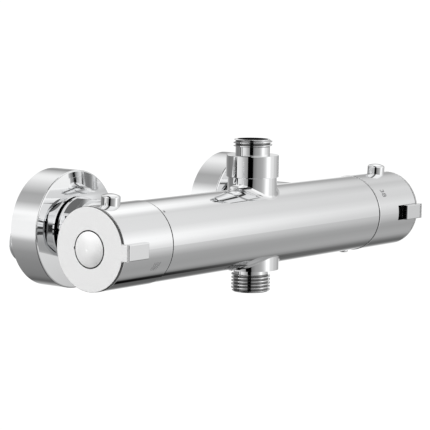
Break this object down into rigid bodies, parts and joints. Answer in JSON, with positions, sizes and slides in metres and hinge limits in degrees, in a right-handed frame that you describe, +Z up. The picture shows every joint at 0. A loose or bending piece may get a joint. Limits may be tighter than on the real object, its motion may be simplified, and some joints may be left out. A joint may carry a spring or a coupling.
{
  "type": "thermostatic mixing valve",
  "caption": "Exposed bar shower mixer with a flow handle, a temperature handle with a safety button, and threaded outlets up and down.",
  "frame": {"origin": "on the finished wall, midway between the axes of the two wall inlets", "axes": "+X along the bar towards the temperature handle, +Y into the wall, +Z up"},
  "size_m": [0.27, 0.1225, 0.082],
  "materials": {
    "polished_chrome": "polished chrome plate on brass",
    "satin_chrome": "satin chrome plate",
    "raw_brass": "machined brass, unplated",
    "copper_alloy": "drawn copper alloy",
    "inner_plastic": "moulded engineering plastic",
    "black_rubber": "moulded rubber",
    "ceramic": null,
    "steel": "stainless steel"
  },
  "bodies": {
    "valve": {"cap_seal": "black_rubber", "check_housing_left": "inner_plastic", "check_housing_right": "inner_plastic", "check_spring_left": "steel", "check_spring_right": "steel", "eccentric_union_left": "polished_chrome", "eccentric_union_right": "polished_chrome", "filter_washer_left": "black_rubber", "filter_washer_right": "black_rubber", "fixed_ceramic_disc": "ceramic", "flow_base": "inner_plastic", "flow_base_seal": "black_rubber", "flow_cartridge_nut": "raw_brass", "flow_housing": "raw_brass", "flow_housing_seal": "black_rubber", "flow_spindle_seal": "black_rubber", "flow_stop_ring": "inner_plastic", "hose_nipple": "polished_chrome", "inlet_tail_left": "polished_chrome", "inlet_tail_right": "polished_chrome", "locating_screw": "polished_chrome", "middle_seal": "black_rubber", "mixing_cap": "raw_brass", "mixing_cartridge_nut": "raw_brass", "mixing_housing": "inner_plastic", "mixing_spindle_seal": "black_rubber", "nose_seal": "black_rubber", "return_spring": "steel", "riser_adapter": "polished_chrome", "riser_adapter_seal": "black_rubber", "temperature_stop_ring": "inner_plastic", "union_nut_left": "polished_chrome", "union_nut_right": "polished_chrome", "valve_body": "polished_chrome", "wall_flange_left": "polished_chrome", "wall_flange_right": "polished_chrome"},
    "temperature_handle": {"mixing_spindle": "raw_brass", "temperature_hub": "inner_plastic", "temperature_sleeve": "polished_chrome", "temperature_nub": "polished_chrome", "temperature_end_disc": "satin_chrome", "temperature_screw_cap": "polished_chrome", "temperature_handle_screw": "steel", "button_spring": "steel"},
    "safety_button": {"safety_button": "polished_chrome"},
    "mixing_shuttle": {"adjusting_carriage": "raw_brass", "wax_element": "copper_alloy", "mixing_shuttle": "inner_plastic", "shuttle_seal": "black_rubber"},
    "flow_handle": {"flow_spindle": "raw_brass", "moving_ceramic_disc": "ceramic", "flow_hub": "inner_plastic", "flow_sleeve": "polished_chrome", "flow_nub": "polished_chrome", "flow_end_disc": "satin_chrome", "flow_screw_cap": "polished_chrome", "flow_handle_screw": "steel"},
    "left_check_poppet": {"check_poppet_left": "inner_plastic"},
    "right_check_poppet": {"check_poppet_right": "inner_plastic"}
  },
  "joints": [
    {"name": "temperature_turn", "type": "hinge", "parent": "valve", "child": "temperature_handle", "pos_m": [0.1, -0.077, 0.01], "axis": [1, 0, 0], "range_deg": [-140, 0]},
    {"name": "safety_button_press", "type": "slide", "parent": "temperature_handle", "child": "safety_button", "axis": [-1, 0, 0], "range_m": [0, 0.0038], "stiffness_N_per_m": 900, "springref_m": -0.002, "deforming": ["button_spring"]},
    {"name": "shuttle_slide", "type": "slide", "parent": "valve", "child": "mixing_shuttle", "axis": [1, 0, 0], "range_m": [-0.00119, 0], "deforming": ["return_spring"]},
    {"name": "flow_turn", "type": "hinge", "parent": "valve", "child": "flow_handle", "pos_m": [-0.1, -0.077, 0.01], "axis": [1, 0, 0], "range_deg": [-90, 90]},
    {"name": "left_check_open", "type": "slide", "parent": "valve", "child": "left_check_poppet", "axis": [0, -1, 0], "range_m": [0, 0.0025], "stiffness_N_per_m": 150, "springref_m": -0.001, "deforming": ["check_spring_left"]},
    {"name": "right_check_open", "type": "slide", "parent": "valve", "child": "right_check_poppet", "axis": [0, -1, 0], "range_m": [0, 0.0025], "stiffness_N_per_m": 150, "springref_m": -0.001, "deforming": ["check_spring_right"]}
  ],
  "couplings": [
    {"joint": "shuttle_slide", "follows": "temperature_turn", "m_per_rad": 0.00047746}
  ]
}
